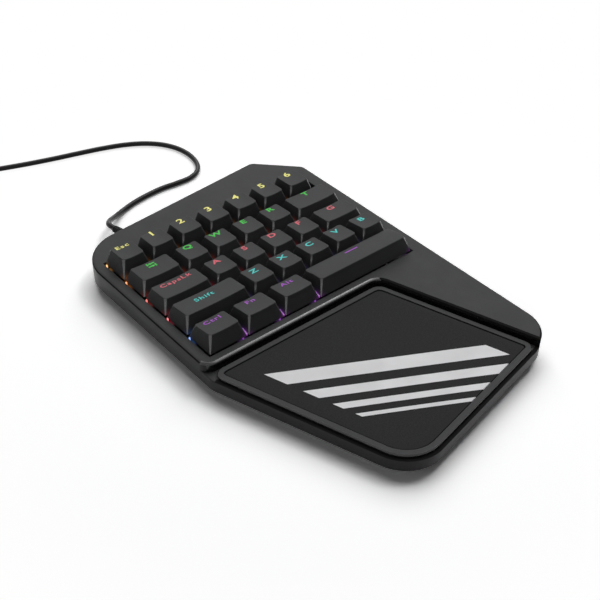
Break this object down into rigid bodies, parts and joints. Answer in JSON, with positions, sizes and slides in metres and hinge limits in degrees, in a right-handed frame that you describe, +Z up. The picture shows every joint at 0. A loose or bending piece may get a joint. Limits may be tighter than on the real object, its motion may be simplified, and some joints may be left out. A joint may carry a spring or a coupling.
{
  "type": "gaming keypad",
  "caption": "One-handed wired gaming keypad with sprung mechanical keys in a stepped case, a padded palm rest and a USB lead.",
  "frame": {"origin": "middle of the keypad's own footprint, on the desk", "axes": "+X to the user's right, +Y away from the user along the keypad's length, +Z up"},
  "size_m": [0.2087, 0.4144, 0.027],
  "materials": {
    "keycap": "moulded satin plastic with light-through legends",
    "case_top": "fine satin texture with glossy bevelled edges",
    "case_base": "matt moulded plastic",
    "palm_frame": "satin moulded plastic",
    "palm_pad": "fine-grained soft-touch leatherette with pale printed bars",
    "switch_plate": "black painted steel sheet",
    "switch_housing": "black moulded plastic",
    "circuit_board": "green solder mask",
    "chip": "moulded epoxy",
    "socket": "natural nylon",
    "cable": "matt PVC jacket",
    "wire": "drawn steel wire",
    "relief": "matt moulded PVC",
    "tie": "woven hook-and-loop strap",
    "plug_grip": "matt moulded PVC",
    "plug_shell": "bright plated steel",
    "screw": "black zinc plated",
    "rubber_foot": "matt rubber"
  },
  "bodies": {
    "case": {"switch_row_1": "switch_housing", "switch_row_2": "switch_housing", "switch_row_3": "switch_housing", "switch_row_4": "switch_housing", "switch_row_5": "switch_housing", "switch_space": "switch_housing", "top_cover": "case_top", "bottom_cover": "case_base", "palm_frame": "palm_frame", "palm_pad": "palm_pad", "switch_plate": "switch_plate", "circuit_board": "circuit_board", "controller_chip": "chip", "cable_socket": "socket", "inner_lead": "cable", "strain_relief": "relief", "cable_run": "cable", "cable_coil": "cable", "cable_tail": "cable", "coil_tie": "tie", "usb_plug_body": "plug_grip", "usb_plug_shell": "plug_shell", "case_screw_back_left": "screw", "case_screw_back_right": "screw", "case_screw_front_left": "screw", "case_screw_front_right": "screw", "rubber_foot_back_left": "rubber_foot", "rubber_foot_back_right": "rubber_foot", "rubber_foot_front_left": "rubber_foot", "rubber_foot_front_right": "rubber_foot"},
    "key_esc": {"key_esc": "keycap"},
    "key_1": {"key_1": "keycap"},
    "key_2": {"key_2": "keycap"},
    "key_3": {"key_3": "keycap"},
    "key_4": {"key_4": "keycap"},
    "key_5": {"key_5": "keycap"},
    "key_6": {"key_6": "keycap"},
    "key_tab": {"key_tab": "keycap"},
    "key_q": {"key_q": "keycap"},
    "key_w": {"key_w": "keycap"},
    "key_e": {"key_e": "keycap"},
    "key_r": {"key_r": "keycap"},
    "key_t": {"key_t": "keycap"},
    "key_caps_lock": {"key_caps_lock": "keycap"},
    "key_a": {"key_a": "keycap"},
    "key_s": {"key_s": "keycap"},
    "key_d": {"key_d": "keycap"},
    "key_f": {"key_f": "keycap"},
    "key_g": {"key_g": "keycap"},
    "key_shift": {"key_shift": "keycap"},
    "key_z": {"key_z": "keycap"},
    "key_x": {"key_x": "keycap"},
    "key_c": {"key_c": "keycap"},
    "key_v": {"key_v": "keycap"},
    "key_b": {"key_b": "keycap"},
    "key_ctrl": {"key_ctrl": "keycap"},
    "key_fn": {"key_fn": "keycap"},
    "key_alt": {"key_alt": "keycap"},
    "key_space": {"key_space": "keycap"},
    "stabiliser": {"stabiliser_wire": "wire"}
  },
  "joints": [
    {"name": "press_esc", "type": "slide", "parent": "case", "child": "key_esc", "axis": [0, 0, 1], "range_m": [-0.004, 0], "stiffness_N_per_m": 100, "springref_m": 0.0035},
    {"name": "press_1", "type": "slide", "parent": "case", "child": "key_1", "axis": [0, 0, 1], "range_m": [-0.004, 0], "stiffness_N_per_m": 100, "springref_m": 0.0035},
    {"name": "press_2", "type": "slide", "parent": "case", "child": "key_2", "axis": [0, 0, 1], "range_m": [-0.004, 0], "stiffness_N_per_m": 100, "springref_m": 0.0035},
    {"name": "press_3", "type": "slide", "parent": "case", "child": "key_3", "axis": [0, 0, 1], "range_m": [-0.004, 0], "stiffness_N_per_m": 100, "springref_m": 0.0035},
    {"name": "press_4", "type": "slide", "parent": "case", "child": "key_4", "axis": [0, 0, 1], "range_m": [-0.004, 0], "stiffness_N_per_m": 100, "springref_m": 0.0035},
    {"name": "press_5", "type": "slide", "parent": "case", "child": "key_5", "axis": [0, 0, 1], "range_m": [-0.004, 0], "stiffness_N_per_m": 100, "springref_m": 0.0035},
    {"name": "press_6", "type": "slide", "parent": "case", "child": "key_6", "axis": [0, 0, 1], "range_m": [-0.004, 0], "stiffness_N_per_m": 100, "springref_m": 0.0035},
    {"name": "press_tab", "type": "slide", "parent": "case", "child": "key_tab", "axis": [0, 0, 1], "range_m": [-0.004, 0], "stiffness_N_per_m": 100, "springref_m": 0.0035},
    {"name": "press_q", "type": "slide", "parent": "case", "child": "key_q", "axis": [0, 0, 1], "range_m": [-0.004, 0], "stiffness_N_per_m": 100, "springref_m": 0.0035},
    {"name": "press_w", "type": "slide", "parent": "case", "child": "key_w", "axis": [0, 0, 1], "range_m": [-0.004, 0], "stiffness_N_per_m": 100, "springref_m": 0.0035},
    {"name": "press_e", "type": "slide", "parent": "case", "child": "key_e", "axis": [0, 0, 1], "range_m": [-0.004, 0], "stiffness_N_per_m": 100, "springref_m": 0.0035},
    {"name": "press_r", "type": "slide", "parent": "case", "child": "key_r", "axis": [0, 0, 1], "range_m": [-0.004, 0], "stiffness_N_per_m": 100, "springref_m": 0.0035},
    {"name": "press_t", "type": "slide", "parent": "case", "child": "key_t", "axis": [0, 0, 1], "range_m": [-0.004, 0], "stiffness_N_per_m": 100, "springref_m": 0.0035},
    {"name": "press_caps_lock", "type": "slide", "parent": "case", "child": "key_caps_lock", "axis": [0, 0, 1], "range_m": [-0.004, 0], "stiffness_N_per_m": 100, "springref_m": 0.0035},
    {"name": "press_a", "type": "slide", "parent": "case", "child": "key_a", "axis": [0, 0, 1], "range_m": [-0.004, 0], "stiffness_N_per_m": 100, "springref_m": 0.0035},
    {"name": "press_s", "type": "slide", "parent": "case", "child": "key_s", "axis": [0, 0, 1], "range_m": [-0.004, 0], "stiffness_N_per_m": 100, "springref_m": 0.0035},
    {"name": "press_d", "type": "slide", "parent": "case", "child": "key_d", "axis": [0, 0, 1], "range_m": [-0.004, 0], "stiffness_N_per_m": 100, "springref_m": 0.0035},
    {"name": "press_f", "type": "slide", "parent": "case", "child": "key_f", "axis": [0, 0, 1], "range_m": [-0.004, 0], "stiffness_N_per_m": 100, "springref_m": 0.0035},
    {"name": "press_g", "type": "slide", "parent": "case", "child": "key_g", "axis": [0, 0, 1], "range_m": [-0.004, 0], "stiffness_N_per_m": 100, "springref_m": 0.0035},
    {"name": "press_shift", "type": "slide", "parent": "case", "child": "key_shift", "axis": [0, 0, 1], "range_m": [-0.004, 0], "stiffness_N_per_m": 100, "springref_m": 0.0035},
    {"name": "press_z", "type": "slide", "parent": "case", "child": "key_z", "axis": [0, 0, 1], "range_m": [-0.004, 0], "stiffness_N_per_m": 100, "springref_m": 0.0035},
    {"name": "press_x", "type": "slide", "parent": "case", "child": "key_x", "axis": [0, 0, 1], "range_m": [-0.004, 0], "stiffness_N_per_m": 100, "springref_m": 0.0035},
    {"name": "press_c", "type": "slide", "parent": "case", "child": "key_c", "axis": [0, 0, 1], "range_m": [-0.004, 0], "stiffness_N_per_m": 100, "springref_m": 0.0035},
    {"name": "press_v", "type": "slide", "parent": "case", "child": "key_v", "axis": [0, 0, 1], "range_m": [-0.004, 0], "stiffness_N_per_m": 100, "springref_m": 0.0035},
    {"name": "press_b", "type": "slide", "parent": "case", "child": "key_b", "axis": [0, 0, 1], "range_m": [-0.004, 0], "stiffness_N_per_m": 100, "springref_m": 0.0035},
    {"name": "press_ctrl", "type": "slide", "parent": "case", "child": "key_ctrl", "axis": [0, 0, 1], "range_m": [-0.004, 0], "stiffness_N_per_m": 100, "springref_m": 0.0035},
    {"name": "press_fn", "type": "slide", "parent": "case", "child": "key_fn", "axis": [0, 0, 1], "range_m": [-0.004, 0], "stiffness_N_per_m": 100, "springref_m": 0.0035},
    {"name": "press_alt", "type": "slide", "parent": "case", "child": "key_alt", "axis": [0, 0, 1], "range_m": [-0.004, 0], "stiffness_N_per_m": 100, "springref_m": 0.0035},
    {"name": "press_space", "type": "slide", "parent": "case", "child": "key_space", "axis": [0, 0, 1], "range_m": [-0.004, 0], "stiffness_N_per_m": 100, "springref_m": 0.0035},
    {"name": "stabiliser_turn", "type": "hinge", "parent": "case", "child": "stabiliser", "pos_m": [0.03447, -0.00618, 0.00865], "axis": [1, 0, 0], "range_deg": [-26.8, 0]}
  ],
  "couplings": [
    {"joint": "stabiliser_turn", "follows": "press_space", "rad_per_m": 116.9}
  ]
}
